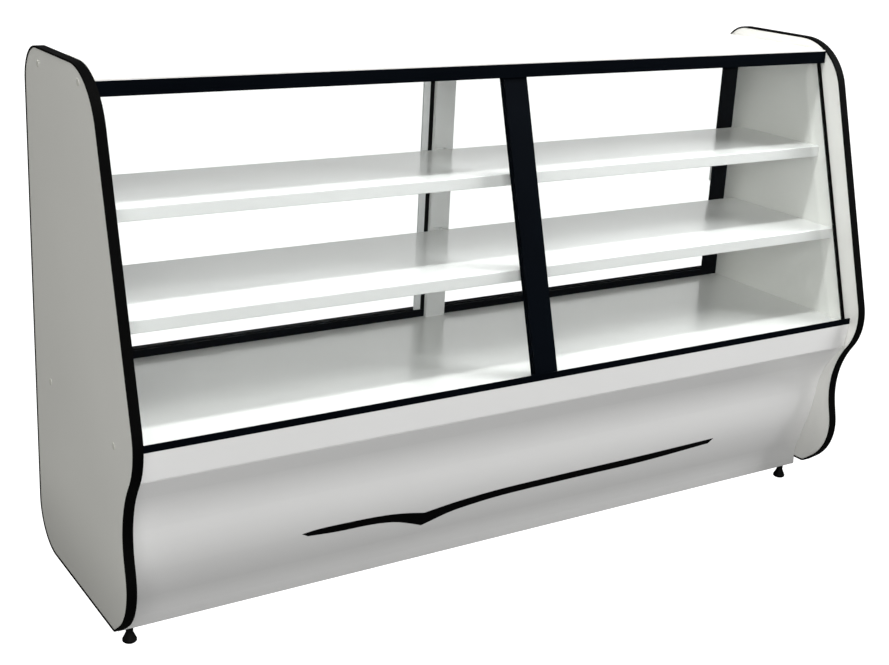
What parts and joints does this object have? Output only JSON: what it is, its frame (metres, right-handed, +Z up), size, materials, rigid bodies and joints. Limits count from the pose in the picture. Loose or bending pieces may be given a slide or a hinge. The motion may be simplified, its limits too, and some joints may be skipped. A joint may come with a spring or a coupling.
{
  "type": "display counter",
  "caption": "Free-standing shop display counter with a slanted glass front, shelves over a deck, sliding glass doors behind and a closed storage base on levelling feet.",
  "frame": {"origin": "on the floor, at the middle of the counter's footprint", "axes": "+X along the counter to the right as the customer sees it, +Y to the staff side, +Z up"},
  "size_m": [2, 0.604, 1.2],
  "materials": {
    "white_laminate": "satin white laminate on board",
    "gloss_deck": "gloss white laminate on board",
    "black_trim": "satin black edge profile",
    "black_metal": "satin black coated extrusion",
    "clear_glass": "clear float glass",
    "seal_rubber": "black rubber",
    "white_metal": "gloss white paint",
    "frame_steel": "dark grey paint",
    "pale_aluminium": "pale anodised",
    "black_plastic": "moulded black",
    "zinc_steel": "zinc plated",
    "white_plastic": "moulded white"
  },
  "bodies": {
    "cabinet": {"side_board_left": "white_laminate", "side_board_right": "white_laminate", "top_panel": "white_laminate", "storage_floor": "white_laminate", "storage_divider": "white_laminate", "deck": "gloss_deck", "side_trim_left": "black_trim", "side_trim_right": "black_trim", "top_bar": "black_metal", "bottom_rail": "black_metal", "front_mullion": "black_metal", "rear_sill": "black_metal", "rear_head": "black_metal", "rear_stile_left": "black_metal", "rear_stile_right": "black_metal", "storage_sill": "black_metal", "storage_head": "black_metal", "front_glass_left": "clear_glass", "front_glass_right": "clear_glass", "glass_seal_left": "seal_rubber", "glass_seal_right": "seal_rubber", "apron": "white_metal", "fascia": "white_metal", "shelf_upper": "white_metal", "shelf_lower": "white_metal", "shelf_cleats": "white_metal", "rear_post": "white_metal", "shelf_arm_upper": "white_metal", "shelf_arm_lower": "white_metal", "base_frame": "frame_steel", "front_beam": "frame_steel", "foot_nuts": "zinc_steel", "panel_screws": "zinc_steel", "frame_screws": "zinc_steel", "arm_screws": "zinc_steel", "screw_caps": "white_plastic"},
    "left_glass_door": {"glass_door_left": "clear_glass", "door_shoe_left": "black_metal", "door_strip_left": "pale_aluminium", "door_pull_left": "pale_aluminium", "door_brush": "seal_rubber"},
    "right_glass_door": {"glass_door_right": "clear_glass", "door_shoe_right": "black_metal", "door_strip_right": "pale_aluminium", "door_pull_right": "pale_aluminium"},
    "left_storage_door": {"storage_door_left": "white_laminate", "cup_pull_left": "black_plastic"},
    "right_storage_door": {"storage_door_right": "white_laminate", "cup_pull_right": "black_plastic"},
    "front_left_foot": {"foot_front_left": "black_plastic", "foot_stud_front_left": "zinc_steel"},
    "rear_left_foot": {"foot_rear_left": "black_plastic", "foot_stud_rear_left": "zinc_steel"},
    "front_right_foot": {"foot_front_right": "black_plastic", "foot_stud_front_right": "zinc_steel"},
    "rear_right_foot": {"foot_rear_right": "black_plastic", "foot_stud_rear_right": "zinc_steel"}
  },
  "joints": [
    {"name": "left_glass_slide", "type": "slide", "parent": "cabinet", "child": "left_glass_door", "axis": [1, 0, 0], "range_m": [0, 0.965]},
    {"name": "right_glass_slide", "type": "slide", "parent": "cabinet", "child": "right_glass_door", "axis": [-1, 0, 0], "range_m": [0, 0.93]},
    {"name": "left_storage_slide", "type": "slide", "parent": "cabinet", "child": "left_storage_door", "axis": [1, 0, 0], "range_m": [0, 0.95]},
    {"name": "right_storage_slide", "type": "slide", "parent": "cabinet", "child": "right_storage_door", "axis": [-1, 0, 0], "range_m": [0, 0.95]},
    {"name": "front_left_level", "type": "slide", "parent": "cabinet", "child": "front_left_foot", "axis": [0, 0, -1], "range_m": [0, 0.02]},
    {"name": "rear_left_level", "type": "slide", "parent": "cabinet", "child": "rear_left_foot", "axis": [0, 0, -1], "range_m": [0, 0.02]},
    {"name": "front_right_level", "type": "slide", "parent": "cabinet", "child": "front_right_foot", "axis": [0, 0, -1], "range_m": [0, 0.02]},
    {"name": "rear_right_level", "type": "slide", "parent": "cabinet", "child": "rear_right_foot", "axis": [0, 0, -1], "range_m": [0, 0.02]}
  ]
}
